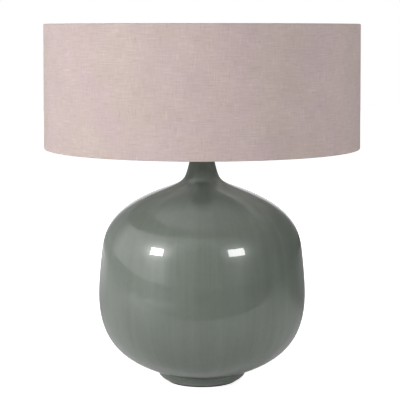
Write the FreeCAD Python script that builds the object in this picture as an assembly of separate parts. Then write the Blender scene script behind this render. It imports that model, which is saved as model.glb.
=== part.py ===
import FreeCAD, Part
import math
import os
from FreeCAD import Vector

# Table lamp: a round glazed ceramic jar with a narrow neck and a low foot ring,
# a switched lampholder on its neck and a wide linen drum shade.
# Millimetres, +Z up. The origin is the middle of the underside, the front looks along -Y.

# ---------------------------------------------------------------- jar
felt_thickness = 1.5
felt_inset = 1.3              # from the foot ring's edge to the felt's edge
foot_radius = 51.9            # outside of the foot ring where it meets the felt
foot_joint_radius = 63.7      # where the rounded foot ring runs into the bowl
foot_height = 14.0
foot_wall = 6.8               # foot ring, measured at its underside
recess_depth = 14.5           # hollow inside the foot ring, up to the jar's floor
floor_thickness = 6.0
floor_hole_radius = 12.0
jar_wall = 6.0
bowl_rise = 113.3             # foot joint to belly
belly_radius = 149.5
side_rise = 68.1              # belly to the start of the shoulder
side_draw_in = 5.45           # how much narrower the jar is there
shoulder_rise = 86.4          # start of the shoulder to the hollow under the neck
hollow_radius = 50.7
sweep_rise = 31.1             # that hollow to the foot of the neck
neck_radius = 19.6
neck_length = 21.6
neck_draw_in = 2.6
lip_round = 1.5
foot_angle = 27.8             # directions of the outline, degrees above level
foot_joint_angle = 102.1
bowl_angle = 19.4
shoulder_angle = 97.7
hollow_angle = 160.9
neck_angle = 104.5
lip_angle = 91.0
# How far each stretch keeps to its end directions, as shares of its own chord.
foot_reach = (0.547, 0.261)
side_reach = [(0.411, 0.465), (0.275, 0.18), (0.30, 0.53), (0.60, 0.465), (0.38, 0.43)]

# ---------------------------------------------------------------- cord inlet
inlet_height = 7.2            # of its axis, above the table
inlet_bore_radius = 2.9       # a round 5.8 mm flex
grommet_wall = 0.7
grommet_flange = 1.1          # flange beyond the sleeve
grommet_flange_thickness = 1.5
grommet_clearance = 0.1

# ---------------------------------------------------------------- rod and its fixings
rod_radius = 5.0
rod_bore_radius = 3.5
rod_overhang = 1.0            # below the base nut
rod_grip = 10.0               # inside the lampholder
fit_clearance = 0.06
hole_clearance = 0.2
nut_across_flats = 14.0
nut_height = 3.0
gasket_thickness = 1.0
base_gasket_radius = 28.0
base_plate_radius = 30.0
base_plate_thickness = 1.5
neck_cap_thickness = 2.5
neck_cap_overhang = 0.6
neck_gasket_inset = 0.6
spigot_length = 8.0
spigot_wall = 1.2
spigot_clearance = 0.3
spacer_radius = 7.5
spacer_length = 8.5

# ---------------------------------------------------------------- lampholder
holder_step = 1.25            # how far the holder's shoulder stands out beyond its skirt
holder_height = 23.0
holder_wall = 2.0
holder_base_radius = 8.5
holder_base_height = 2.5
holder_dome_height = 10.0
skirt_wall = 1.5              # behind the thread
skirt_height = 36.0
skirt_lip_width = 2.4
skirt_lip_thickness = 2.0
skirt_thread_pitch = 2.5
skirt_thread_depth = 0.85
skirt_thread_start = 1.5
skirt_thread_turns = 13
block_clearance = 0.3
block_height = 9.0
terminal_spacing = 20.0
terminal_radius = 1.75
terminal_head_radius = 2.8
terminal_head_height = 2.0
terminal_depth = 6.0
terminal_slot_width = 0.8
terminal_slot_depth = 0.8
shell_wall = 0.4
shell_floor_hole_radius = 6.5
shell_clearance = 0.3
shell_room = 3.2              # between the threaded shell and the skirt
shell_height = 22.0
contact_thickness = 0.5
contact_width = 5.0
contact_half_length = 5.6
switch_bar_radius = 2.2
switch_bar_length = 54.0
switch_bar_round = 1.2
switch_bar_drop = 6.0         # its axis below the holder's shoulder
switch_travel = 5.0
switch_clearance = 0.08
switch_collar_radius = 3.5
switch_collar_width = 5.0
switch_leaf_width = 5.0
switch_leaf_gap = 0.5

# ---------------------------------------------------------------- shade rings
ring_width = 7.75
ring_clearance = 0.08
lower_ring_height = 4.0
upper_ring_height = 5.0
ring_grip_count = 16
ring_grip_radius = 1.5
ring_grip_depth = 0.7

# ---------------------------------------------------------------- bulb
bulb_tip_gap = 0.5            # between the centre contact and the bulb's tip
bulb_tip_radius = 4.2
bulb_tip_height = 1.8
insulator_radius = 9.6
insulator_height = 3.2
bulb_thread_radius = 13.1
bulb_thread_depth = 1.0
bulb_thread_pitch = 3.63
bulb_thread_turns = 4
bulb_cap_wall = 0.4
bulb_collar_height = 6.0
bulb_radius = 30.0
bulb_height = 105.0
bulb_glass_wall = 0.8
bulb_neck_clearance = 0.3
stem_radius = 3.2
stem_height = 34.0
stem_flare_thickness = 1.5
lead_radius = 0.5
lead_height = 16.0
filament_span_radius = 13.0
filament_radius = 0.45

# ---------------------------------------------------------------- shade
shade_bottom_radius = 226.0
shade_top_radius = 224.5
shade_height = 176.0
shade_drop = 38.0             # fitter ring above the shade's lower edge
fabric_thickness = 0.8
hem_thickness = 0.7
hem_upstand = 6.0
hem_height = 11.0
liner_thickness = 0.5
laminate_gap = 0.05
wire_radius = 2.0
wire_gap = 0.1
fitter_margin = 5.5           # beyond the rings that clamp it
fitter_play = 1.25            # round the skirt
fitter_thickness = 1.5
arm_count = 3
arm_first_angle = 90.0
arm_lap = 4.2                 # of each arm under the fitter ring
arm_bend_radius = 30.0
weld_gap = 0.05
arm_slit_clearance = 0.3      # slit in the hem round each arm

# ---------------------------------------------------------------- heights worked out from these
foot_bottom = felt_thickness
foot_joint_height = foot_bottom + foot_height
floor_under = foot_bottom + recess_depth
belly_height = foot_joint_height + bowl_rise
shoulder_height = belly_height + side_rise
hollow_height = shoulder_height + shoulder_rise
neck_foot_height = hollow_height + sweep_rise
neck_top = neck_foot_height + neck_length
neck_top_radius = neck_radius - neck_draw_in
foot_inner_radius = foot_radius - foot_wall

shell_radius = bulb_thread_radius + shell_clearance + 2 * shell_wall
skirt_bore_radius = shell_radius + shell_room
skirt_lip_radius = skirt_bore_radius - skirt_lip_width
skirt_radius = skirt_bore_radius + skirt_wall + skirt_thread_depth
holder_radius = skirt_radius + holder_step
ring_radius = skirt_radius + ring_width
fitter_radius = ring_radius + fitter_margin
fitter_hole_radius = skirt_radius + fitter_play

base_gasket_bottom = floor_under - gasket_thickness
base_plate_bottom = base_gasket_bottom - base_plate_thickness
base_nut_bottom = base_plate_bottom - nut_height
rod_bottom = base_nut_bottom - rod_overhang

neck_cap_bottom = neck_top + gasket_thickness
neck_nut_bottom = neck_cap_bottom + neck_cap_thickness
spacer_bottom = neck_nut_bottom + nut_height
holder_bottom = spacer_bottom + spacer_length
rod_top = holder_bottom + rod_grip
holder_shoulder = holder_bottom + holder_height
fitter_bottom = holder_shoulder + lower_ring_height
fitter_top = fitter_bottom + fitter_thickness
block_bottom = holder_shoulder + skirt_lip_thickness
block_top = block_bottom + block_height
switch_height = holder_shoulder - switch_bar_drop
skirt_top = holder_shoulder + skirt_height

bulb_bottom = block_top + shell_wall + 2 * contact_thickness + bulb_tip_gap
insulator_bottom = bulb_bottom + bulb_tip_height
bulb_thread_bottom = insulator_bottom + insulator_height
bulb_collar_bottom = bulb_thread_bottom + bulb_thread_turns * bulb_thread_pitch
bulb_cap_top = bulb_collar_bottom + bulb_collar_height
bulb_top = bulb_bottom + bulb_height
bulb_middle = bulb_top - bulb_radius

shade_bottom = fitter_bottom - shade_drop
shade_top = shade_bottom + shade_height

inlet_hole_radius = inlet_bore_radius + grommet_wall + grommet_clearance
grommet_flange_radius = inlet_bore_radius + grommet_wall + grommet_flange

AXIS = Vector(0, 0, 1)
ORIGIN = Vector(0, 0, 0)
ACROSS = Vector(1, 0, 0)
BACK = Vector(0, 1, 0)


# ---------------------------------------------------------------- drawing helpers
def at(radius, height):
    """A point of an outline that is turned about the lamp's axis."""
    return Vector(radius, 0, height)


def line(start, end):
    return Part.makeLine(start, end)


def arc(start, middle, end):
    return Part.Arc(start, middle, end).toShape()


def bezier(start, start_handle, end_handle, end):
    curve = Part.BezierCurve()
    curve.setPoles([start, start_handle, end_handle, end])
    return curve.toShape()


def solid_of(shape):
    """The shape as a solid whose faces point outwards."""
    if shape.Volume < 0:
        shape.reverse()
    return shape


def turned(edges):
    """A closed outline turned about the lamp's axis."""
    wire = Part.Wire(Part.__sortEdges__(edges))
    return solid_of(Part.Face(wire).revolve(ORIGIN, AXIS, 360))


def turned_points(points):
    """The same, for an outline of straight lines given as (radius, height)."""
    corners = [at(radius, height) for radius, height in points]
    wire = Part.makePolygon(corners + corners[:1])
    return solid_of(Part.Face(wire).revolve(ORIGIN, AXIS, 360))


def disc(radius, bottom, height):
    return Part.makeCylinder(radius, height, Vector(0, 0, bottom), AXIS)


def tube(outer, inner, bottom, height):
    return disc(outer, bottom, height).cut(disc(inner, bottom - 1, height + 2))


def rod_along(radius, start, end):
    """A round bar between two points."""
    reach = end - start
    return Part.makeCylinder(radius, reach.Length, start, reach)


def hex_nut(bottom):
    corner_radius = nut_across_flats / math.sqrt(3)
    corners = []
    for corner in range(7):
        turn = math.radians(60 * corner)
        corners.append(Vector(corner_radius * math.cos(turn), corner_radius * math.sin(turn), bottom))
    prism = Part.Face(Part.makePolygon(corners)).extrude(Vector(0, 0, nut_height))
    return solid_of(prism.cut(disc(rod_radius + fit_clearance, bottom - 1, nut_height + 2)))


def save(name, shape):
    shape.exportStep("parts/" + name + ".step")
    box = shape.BoundBox
    print(name, len(shape.Solids), "solid(s)", round(shape.Volume / 1000, 2), "cm3",
          "valid" if shape.isValid() else "INVALID",
          "z", round(box.ZMin, 2), round(box.ZMax, 2))


# ---------------------------------------------------------------- jar
def heading_at(angle):
    return at(math.cos(math.radians(angle)), math.sin(math.radians(angle)))


def stretch(start, start_heading, end, end_heading, reach):
    """A curved edge of the outline that leaves and arrives in the given directions."""
    chord = (end - start).Length
    start_handle = start + start_heading * (reach[0] * chord)
    end_handle = end - end_heading * (reach[1] * chord)
    return bezier(start, start_handle, end_handle, end)


def jar_side(inset):
    """The jar's outline from the foot to the neck, as edges and end points.

    inset is how far inside the glazed face it runs.
    """
    stations = [
        (foot_joint_radius, foot_joint_height, bowl_angle),
        (belly_radius, belly_height, 90),
        (belly_radius - side_draw_in, shoulder_height, shoulder_angle),
        (hollow_radius, hollow_height, hollow_angle),
        (neck_radius, neck_foot_height, neck_angle),
        (neck_top_radius, neck_top - lip_round, lip_angle),
    ]
    points = []
    headings = []
    for radius, height, angle in stations:
        heading = heading_at(angle)
        inwards = at(-heading.z, heading.x)
        points.append(at(radius, height) + inwards * inset)
        headings.append(heading)
    edges = []
    for index, reach in enumerate(side_reach):
        edges.append(stretch(points[index], headings[index], points[index + 1], headings[index + 1], reach))
    return edges, points[0], points[-1]


def jar():
    side, joint, lip_out = jar_side(0)
    foot_edge = at(foot_radius, foot_bottom)
    corner = 1 - math.sqrt(0.5)
    lip_mid = at(lip_out.x - lip_round * corner, neck_top - lip_round * corner)
    lip_in = at(lip_out.x - lip_round, neck_top)
    outline = [
        line(at(0, foot_bottom), foot_edge),
        stretch(foot_edge, heading_at(foot_angle), joint, heading_at(foot_joint_angle), foot_reach),
        *side,
        arc(lip_out, lip_mid, lip_in),
        line(lip_in, at(0, neck_top)),
        line(at(0, neck_top), at(0, foot_bottom)),
    ]
    body = turned(outline)

    inside, inside_start, inside_end = jar_side(jar_wall)
    mouth = neck_top + 1
    hollow = turned([
        line(at(0, inside_start.z), inside_start),
        *inside,
        line(inside_end, at(inside_end.x, mouth)),
        line(at(inside_end.x, mouth), at(0, mouth)),
        line(at(0, mouth), at(0, inside_start.z)),
    ])
    hollow = hollow.cut(disc(belly_radius, 0, floor_under + floor_thickness))
    recess = disc(foot_inner_radius, foot_bottom - 1, recess_depth + 1)
    rod_hole = disc(floor_hole_radius, floor_under - 1, floor_thickness + 2)
    inlet_start = Vector(0, foot_inner_radius - foot_wall, inlet_height)
    inlet = Part.makeCylinder(inlet_hole_radius, 4 * foot_wall, inlet_start, BACK)
    seat_start = Vector(0, grommet_seat(), inlet_height)
    seat_radius = grommet_flange_radius + 2 * grommet_clearance
    seat = Part.makeCylinder(seat_radius, 4 * foot_wall, seat_start, BACK)
    for space in (hollow, recess, rod_hole, inlet, seat):
        body = body.cut(space)
    return body


def grommet_seat():
    """How far back the flat seat for the grommet's outer flange lies."""
    return foot_radius + grommet_clearance * 6


def grommet_inner_face():
    """Where the inner flange's face clears the round inside of the foot ring."""
    return math.sqrt(foot_inner_radius ** 2 - grommet_flange_radius ** 2) - grommet_clearance


def cord_grommet():
    outer = grommet_seat() + grommet_clearance
    inner = grommet_inner_face()
    thickness = grommet_flange_thickness
    sleeve_start = Vector(0, inner - thickness, inlet_height)
    sleeve_length = outer - inner + 2 * thickness
    sleeve = Part.makeCylinder(inlet_bore_radius + grommet_wall, sleeve_length, sleeve_start, BACK)
    outer_flange = Part.makeCylinder(grommet_flange_radius, thickness, Vector(0, outer, inlet_height), BACK)
    inner_flange = Part.makeCylinder(grommet_flange_radius, thickness, sleeve_start, BACK)
    bore_start = Vector(0, inner - thickness - 1, inlet_height)
    bore = Part.makeCylinder(inlet_bore_radius, sleeve_length + 2, bore_start, BACK)
    return sleeve.fuse(outer_flange).fuse(inner_flange).removeSplitter().cut(bore)


# ---------------------------------------------------------------- what clamps the jar
def base_fixings():
    bore = rod_radius + hole_clearance
    save("foot_felt", disc(foot_radius - felt_inset, 0, felt_thickness))
    save("base_gasket", tube(base_gasket_radius, bore, base_gasket_bottom, gasket_thickness))
    save("base_plate", tube(base_plate_radius, bore, base_plate_bottom, base_plate_thickness))
    save("base_nut", hex_nut(base_nut_bottom))
    save("threaded_rod", tube(rod_radius, rod_bore_radius, rod_bottom, rod_top - rod_bottom))


def neck_cap():
    """A turned cap on the neck, with a spigot that centres it in the jar's mouth."""
    bore = rod_radius + hole_clearance
    rim = neck_top_radius + neck_cap_overhang
    spigot = neck_top_radius - jar_wall - spigot_clearance
    under = neck_cap_bottom
    over = neck_nut_bottom
    chamfer = neck_cap_overhang
    return turned_points([
        (bore, under),
        (spigot - spigot_wall, under),
        (spigot - spigot_wall, under - spigot_length),
        (spigot, under - spigot_length),
        (spigot, under),
        (rim, under),
        (rim, over - chamfer),
        (rim - chamfer, over),
        (bore, over),
    ])


def neck_fixings():
    gasket_outer = neck_top_radius - lip_round - neck_gasket_inset
    gasket_inner = neck_top_radius - jar_wall + spigot_clearance
    save("neck_gasket", tube(gasket_outer, gasket_inner, neck_top, gasket_thickness))
    save("neck_cap", neck_cap())
    save("neck_nut", hex_nut(neck_nut_bottom))
    save("spacer_tube", tube(spacer_radius, rod_radius + hole_clearance, spacer_bottom, spacer_length))


# ---------------------------------------------------------------- lampholder
def lampholder_cap():
    base_top = holder_bottom + holder_base_height
    dome_top = holder_bottom + holder_dome_height
    dome = bezier(
        at(holder_base_radius, base_top),
        at(holder_radius - holder_wall, base_top),
        at(holder_radius, base_top + holder_wall),
        at(holder_radius, dome_top),
    )
    body = turned([
        line(at(0, holder_bottom), at(holder_base_radius, holder_bottom)),
        line(at(holder_base_radius, holder_bottom), at(holder_base_radius, base_top)),
        dome,
        line(at(holder_radius, dome_top), at(holder_radius, holder_shoulder)),
        line(at(holder_radius, holder_shoulder), at(0, holder_shoulder)),
        line(at(0, holder_shoulder), at(0, holder_bottom)),
    ])
    room = tube(holder_radius - holder_wall, holder_base_radius, dome_top - holder_wall, holder_height)
    above_boss = disc(holder_radius - holder_wall, rod_top, holder_height)
    rod_hole = disc(rod_radius + fit_clearance, holder_bottom - 1, holder_height)
    hole_radius = switch_bar_radius + switch_clearance
    hole_start = Vector(-2 * holder_radius, 0, switch_height)
    bar_hole = Part.makeCylinder(hole_radius, 4 * holder_radius, hole_start, ACROSS)
    return body.cut(room).cut(above_boss).cut(rod_hole).cut(bar_hole)


def lampholder_skirt():
    """The upper shell, with the thread for the shade rings and a lip under the block."""
    points = [
        (skirt_lip_radius, holder_shoulder),
        (skirt_radius, holder_shoulder),
        (skirt_radius, holder_shoulder + skirt_thread_start),
    ]
    root = skirt_radius - skirt_thread_depth
    for turn in range(skirt_thread_turns):
        start = holder_shoulder + skirt_thread_start + turn * skirt_thread_pitch
        points.append((root, start + 0.5 * skirt_thread_pitch))
        points.append((skirt_radius, start + 0.9 * skirt_thread_pitch))
        points.append((skirt_radius, start + skirt_thread_pitch))
    points += [
        (skirt_radius, skirt_top),
        (skirt_bore_radius, skirt_top),
        (skirt_bore_radius, block_bottom),
        (skirt_lip_radius, block_bottom),
    ]
    return turned_points(points)


def terminal_places():
    return [Vector(side * terminal_spacing / 2, 0, block_bottom) for side in (-1, 1)]


def terminal_block():
    block = disc(skirt_bore_radius - block_clearance, block_bottom, block_height)
    for place in terminal_places():
        hole_radius = terminal_radius + fit_clearance
        block = block.cut(Part.makeCylinder(hole_radius, terminal_depth + hole_clearance, place, AXIS))
    return block


def terminal_screw(place):
    shank = Part.makeCylinder(terminal_radius, terminal_depth, place, AXIS)
    head_start = place - Vector(0, 0, terminal_head_height)
    head = Part.makeCylinder(terminal_head_radius, terminal_head_height, head_start, AXIS)
    slot_length = 2 * terminal_head_radius + 1
    slot_corner = head_start - Vector(terminal_slot_width / 2, slot_length / 2, 1)
    slot = Part.makeBox(terminal_slot_width, slot_length, 1 + terminal_slot_depth, slot_corner)
    return shank.fuse(head).removeSplitter().cut(slot)


def wave(crest_radius, start):
    """Round thread rings from start upwards, as edges."""
    middle = crest_radius - bulb_thread_depth / 2
    edges = []
    for turn in range(bulb_thread_turns):
        low = start + turn * bulb_thread_pitch
        half = low + bulb_thread_pitch / 2
        high = low + bulb_thread_pitch
        crest = at(crest_radius, low + bulb_thread_pitch / 4)
        root = at(crest_radius - bulb_thread_depth, half + bulb_thread_pitch / 4)
        edges.append(arc(at(middle, low), crest, at(middle, half)))
        edges.append(arc(at(middle, half), root, at(middle, high)))
    return edges


def screw_shell():
    """The lampholder's thin threaded shell, which follows the bulb's thread."""
    inner_crest = bulb_thread_radius + shell_clearance
    outer_crest = inner_crest + shell_wall
    inner = inner_crest - bulb_thread_depth / 2
    outer = outer_crest - bulb_thread_depth / 2
    thread_top = bulb_collar_bottom
    rim = block_top + shell_height
    collar = outer_crest
    return turned([
        line(at(shell_floor_hole_radius, block_top), at(outer, block_top)),
        line(at(outer, block_top), at(outer, bulb_thread_bottom)),
        *wave(outer_crest, bulb_thread_bottom),
        line(at(outer, thread_top), at(collar + shell_wall, thread_top)),
        line(at(collar + shell_wall, thread_top), at(collar + shell_wall, rim)),
        line(at(collar + shell_wall, rim), at(collar, rim)),
        line(at(collar, rim), at(collar, thread_top - shell_wall)),
        line(at(collar, thread_top - shell_wall), at(inner, thread_top - shell_wall)),
        line(at(inner, thread_top - shell_wall), at(inner, thread_top)),
        *wave(inner_crest, bulb_thread_bottom),
        line(at(inner, bulb_thread_bottom), at(inner, block_top + shell_wall)),
        line(at(inner, block_top + shell_wall), at(shell_floor_hole_radius, block_top + shell_wall)),
        line(at(shell_floor_hole_radius, block_top + shell_wall), at(shell_floor_hole_radius, block_top)),
    ])


def centre_contact():
    """A bent leaf that stands on the block and bows up under the bulb's tip."""
    rise = shell_wall + contact_thickness
    ends = contact_half_length
    outline = [
        Vector(-ends, 0, block_top),
        Vector(-ends / 2, 0, block_top),
        Vector(-ends / 4, 0, block_top + rise),
        Vector(ends / 4, 0, block_top + rise),
        Vector(ends / 4, 0, block_top + rise + contact_thickness),
        Vector(-ends / 4 - contact_thickness, 0, block_top + rise + contact_thickness),
        Vector(-ends / 2 - contact_thickness, 0, block_top + contact_thickness),
        Vector(-ends, 0, block_top + contact_thickness),
    ]
    face = Part.Face(Part.makePolygon(outline + outline[:1]))
    leaf = face.extrude(Vector(0, contact_width, 0))
    leaf.translate(Vector(0, -contact_width / 2, 0))
    return solid_of(leaf)


def switch_contact():
    """The spring leaf that the switch collar presses."""
    near = switch_collar_radius + switch_leaf_gap
    low = switch_height + switch_bar_radius / 2
    corner = Vector(-switch_leaf_width / 2, near, low)
    return Part.makeBox(switch_leaf_width, contact_thickness, block_bottom - low, corner)


def switch_parts():
    """The bar is pushed to one side at rest and slides through the holder."""
    shift = switch_travel / 2
    start = Vector(shift - switch_bar_length / 2, 0, switch_height)
    bar = Part.makeCylinder(switch_bar_radius, switch_bar_length, start, ACROSS)
    ends = [edge for edge in bar.Edges if edge.Curve.TypeId == "Part::GeomCircle"]
    bar = bar.makeFillet(switch_bar_round, ends)
    save("switch_bar", bar)
    collar_start = Vector(shift - switch_collar_width / 2, 0, switch_height)
    collar = Part.makeCylinder(switch_collar_radius, switch_collar_width, collar_start, ACROSS)
    bore_start = collar_start - ACROSS
    bore_radius = switch_bar_radius + fit_clearance
    bore = Part.makeCylinder(bore_radius, switch_collar_width + 2, bore_start, ACROSS)
    save("switch_collar", collar.cut(bore))


def shade_ring(bottom, height):
    """A ring that screws on the skirt, with finger grips round its edge."""
    ring = tube(ring_radius, skirt_radius + ring_clearance, bottom, height)
    grip_centre = ring_radius + ring_grip_radius - ring_grip_depth
    for grip in range(ring_grip_count):
        turn = 2 * math.pi * grip / ring_grip_count
        place = Vector(grip_centre * math.cos(turn), grip_centre * math.sin(turn), bottom - 1)
        ring = ring.cut(Part.makeCylinder(ring_grip_radius, height + 2, place, AXIS))
    return ring


def lampholder():
    save("lampholder_cap", lampholder_cap())
    save("lampholder_skirt", lampholder_skirt())
    save("terminal_block", terminal_block())
    save("terminal_screws", Part.makeCompound([terminal_screw(place) for place in terminal_places()]))
    save("screw_shell", screw_shell())
    save("centre_contact", centre_contact())
    save("switch_contact", switch_contact())
    switch_parts()
    save("lower_shade_ring", shade_ring(holder_shoulder, lower_ring_height))
    save("upper_shade_ring", shade_ring(fitter_top, upper_ring_height))


# ---------------------------------------------------------------- bulb
def bulb_cap():
    outer = bulb_thread_radius - bulb_thread_depth / 2
    inside = bulb_thread_radius - bulb_thread_depth - bulb_cap_wall
    collar_inside = bulb_thread_radius - bulb_cap_wall
    return turned([
        line(at(insulator_radius, bulb_thread_bottom), at(outer, bulb_thread_bottom)),
        *wave(bulb_thread_radius, bulb_thread_bottom),
        line(at(outer, bulb_collar_bottom), at(bulb_thread_radius, bulb_collar_bottom)),
        line(at(bulb_thread_radius, bulb_collar_bottom), at(bulb_thread_radius, bulb_cap_top)),
        line(at(bulb_thread_radius, bulb_cap_top), at(collar_inside, bulb_cap_top)),
        line(at(collar_inside, bulb_cap_top), at(collar_inside, bulb_collar_bottom + bulb_cap_wall)),
        line(at(collar_inside, bulb_collar_bottom + bulb_cap_wall),
             at(inside, bulb_collar_bottom + bulb_cap_wall)),
        line(at(inside, bulb_collar_bottom + bulb_cap_wall), at(inside, bulb_thread_bottom + bulb_cap_wall)),
        line(at(inside, bulb_thread_bottom + bulb_cap_wall),
             at(insulator_radius, bulb_thread_bottom + bulb_cap_wall)),
        line(at(insulator_radius, bulb_thread_bottom + bulb_cap_wall),
             at(insulator_radius, bulb_thread_bottom)),
    ])


def bulb_glass():
    """A pear-shaped glass envelope with an open neck."""
    neck = bulb_thread_radius - bulb_cap_wall - bulb_neck_clearance
    neck_bottom = bulb_collar_bottom + bulb_cap_wall

    def outline(inset):
        radius = bulb_radius - inset
        shoulder = at(radius, bulb_middle)
        neck_end = at(neck - inset, bulb_cap_top)
        reach = (bulb_middle - bulb_cap_top) / 2
        diagonal = radius * math.sqrt(0.5)
        side = bezier(neck_end, neck_end + Vector(0, 0, reach / 2), shoulder - Vector(0, 0, reach), shoulder)
        crown = arc(shoulder, at(diagonal, bulb_middle + diagonal), at(0, bulb_middle + radius))
        return [line(at(neck - inset, neck_bottom), neck_end), side, crown]

    crown_wall = line(at(0, bulb_top), at(0, bulb_top - bulb_glass_wall))
    foot = line(at(neck, neck_bottom), at(neck - bulb_glass_wall, neck_bottom))
    return turned([*outline(0), crown_wall, *outline(bulb_glass_wall), foot])


def bulb():
    neck = bulb_thread_radius - bulb_cap_wall - bulb_neck_clearance
    neck_bottom = bulb_collar_bottom + bulb_cap_wall
    flare = neck - bulb_glass_wall - bulb_neck_clearance
    save("bulb_cap", bulb_cap())
    save("bulb_tip", disc(bulb_tip_radius, bulb_bottom, bulb_tip_height))
    save("bulb_insulator", turned_points([
        (0, insulator_bottom),
        (bulb_tip_radius, insulator_bottom),
        (insulator_radius, bulb_thread_bottom),
        (0, bulb_thread_bottom),
    ]))
    save("bulb_glass", bulb_glass())
    stem_top = neck_bottom + stem_height
    stem = disc(flare, neck_bottom, stem_flare_thickness).fuse(disc(stem_radius, neck_bottom, stem_height))
    save("bulb_stem", stem.removeSplitter())
    leads = []
    for side in (-1, 1):
        foot = Vector(side * stem_radius / 2, 0, stem_top + lead_radius)
        tip = Vector(side * filament_span_radius, 0, stem_top + lead_height)
        leads.append(rod_along(lead_radius, foot, tip))
    save("bulb_leads", Part.makeCompound(leads))
    filament_centre = Vector(0, 0, stem_top + lead_height + lead_radius + filament_radius)
    ring = Part.makeTorus(filament_span_radius, filament_radius, filament_centre, BACK)
    half = Part.makeBox(4 * filament_span_radius, 2, 2 * filament_span_radius,
                        filament_centre - Vector(2 * filament_span_radius, 1, 0))
    save("bulb_filament", ring.common(half))


# ---------------------------------------------------------------- shade
def shade_radius(height):
    """Outside of the fabric at a height."""
    share = (height - shade_bottom) / shade_height
    return shade_bottom_radius + share * (shade_top_radius - shade_bottom_radius)


def liner_outside(height):
    return shade_radius(height) - fabric_thickness - laminate_gap


def liner_inside(height):
    return liner_outside(height) - liner_thickness


def wire_height(edge, inwards):
    """Height of a wire ring's centre. inwards is 1 at the lower edge, -1 at the upper."""
    return edge + inwards * (hem_thickness + wire_gap + wire_radius)


def wire_ring_radius(height):
    return liner_inside(height) - wire_gap - wire_radius


def hem(edge, inwards):
    """Outline of a turned hem that wraps a wire ring, from the fabric's inner face round to its outer."""
    ring_inside = wire_ring_radius(wire_height(edge, inwards)) - wire_radius - wire_gap
    end = edge + inwards * hem_height
    knee = edge + inwards * hem_upstand
    flat = edge + inwards * hem_thickness
    return [
        (shade_radius(flat) - fabric_thickness, flat),
        (ring_inside, flat),
        (ring_inside, knee),
        (liner_inside(end) - laminate_gap, end),
        (liner_inside(end) - laminate_gap - hem_thickness, end),
        (ring_inside - hem_thickness, knee),
        (ring_inside - hem_thickness, edge),
        (shade_radius(edge), edge),
    ]


def arm_ends():
    """Where an arm starts under the fitter ring, bends down, and meets the lower wire ring."""
    height = fitter_bottom - wire_gap - wire_radius
    ring_height = wire_height(shade_bottom, 1)
    start = at(fitter_radius - arm_lap, height)
    elbow = at(fitter_radius, height)
    end = at(wire_ring_radius(ring_height), ring_height)
    return start, elbow, end


def round_the_shade(shape):
    """A copy of the shape at each arm's place."""
    copies = []
    for index in range(arm_count):
        copy = shape.copy()
        copy.rotate(ORIGIN, AXIS, arm_first_angle + index * 360 / arm_count)
        copies.append(copy)
    return copies


def spider_arm():
    """One wire arm, bent once, cut to fit the lower wire ring."""
    start, elbow, end = arm_ends()
    height = start.z
    slope = math.atan2(elbow.z - end.z, end.x - elbow.x)
    setback = arm_bend_radius * math.tan(slope / 2)
    bend_start = at(elbow.x - setback, height)
    bend_end = elbow + at(math.cos(slope), -math.sin(slope)) * setback
    centre = at(bend_start.x, height - arm_bend_radius)
    bend_middle = centre + at(math.sin(slope / 2), math.cos(slope / 2)) * arm_bend_radius
    path = Part.Wire([
        line(start, bend_start),
        arc(bend_start, bend_middle, bend_end),
        line(bend_end, end),
    ])
    section = Part.Wire(Part.makeCircle(wire_radius, start, ACROSS))
    arm = solid_of(path.makePipeShell([section], True, False))
    ring = Part.makeTorus(end.x, wire_radius + weld_gap, at(0, end.z), AXIS)
    beyond = tube(end.x + 4 * wire_radius, end.x, end.z - 2 * wire_radius, 4 * wire_radius)
    return arm.cut(ring).cut(beyond)


def shade():
    low_wire = wire_height(shade_bottom, 1)
    high_wire = wire_height(shade_top, -1)
    liner_low = shade_bottom + hem_thickness + wire_gap
    liner_high = shade_top - hem_thickness - wire_gap
    save("shade_liner", turned_points([
        (liner_inside(liner_low), liner_low),
        (liner_outside(liner_low), liner_low),
        (liner_outside(liner_high), liner_high),
        (liner_inside(liner_high), liner_high),
    ]))
    fabric = turned_points(hem(shade_bottom, 1) + hem(shade_top, -1)[::-1])
    elbow, arm_end = arm_ends()[1:]
    for slit in round_the_shade(rod_along(wire_radius + arm_slit_clearance, elbow, arm_end)):
        fabric = fabric.cut(slit)
    save("shade_fabric", fabric)
    save("shade_bottom_ring", Part.makeTorus(wire_ring_radius(low_wire), wire_radius, at(0, low_wire), AXIS))
    save("shade_top_ring", Part.makeTorus(wire_ring_radius(high_wire), wire_radius, at(0, high_wire), AXIS))
    save("spider_arms", Part.makeCompound(round_the_shade(spider_arm())))
    save("fitter_ring", tube(fitter_radius, fitter_hole_radius, fitter_bottom, fitter_thickness))


os.makedirs("parts", exist_ok=True)
save("jar", jar())
save("cord_grommet", cord_grommet())
base_fixings()
neck_fixings()
lampholder()
bulb()
shade()
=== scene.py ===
import math

import bpy
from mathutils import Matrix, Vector


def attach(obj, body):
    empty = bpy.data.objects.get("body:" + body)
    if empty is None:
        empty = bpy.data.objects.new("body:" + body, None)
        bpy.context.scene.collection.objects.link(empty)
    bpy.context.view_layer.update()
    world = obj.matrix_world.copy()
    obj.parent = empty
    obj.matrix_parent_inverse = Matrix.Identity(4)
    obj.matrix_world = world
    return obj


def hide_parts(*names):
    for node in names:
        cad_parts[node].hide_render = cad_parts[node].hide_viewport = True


# Table lamp: a round glazed jar with a narrow neck, a switched lampholder and a wide linen drum shade.
# Sizes are in millimetres and outlines are (radius, height). turned() scales them to metres.
# The front is -Y, and the linen's seam and the hole for the cord are at the back.

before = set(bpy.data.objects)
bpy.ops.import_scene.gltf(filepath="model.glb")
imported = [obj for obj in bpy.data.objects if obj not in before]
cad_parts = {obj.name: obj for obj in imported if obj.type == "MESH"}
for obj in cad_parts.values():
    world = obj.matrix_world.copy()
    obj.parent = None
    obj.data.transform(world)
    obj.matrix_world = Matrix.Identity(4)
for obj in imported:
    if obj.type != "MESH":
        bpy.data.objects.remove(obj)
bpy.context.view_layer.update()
mm = 0.001

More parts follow.
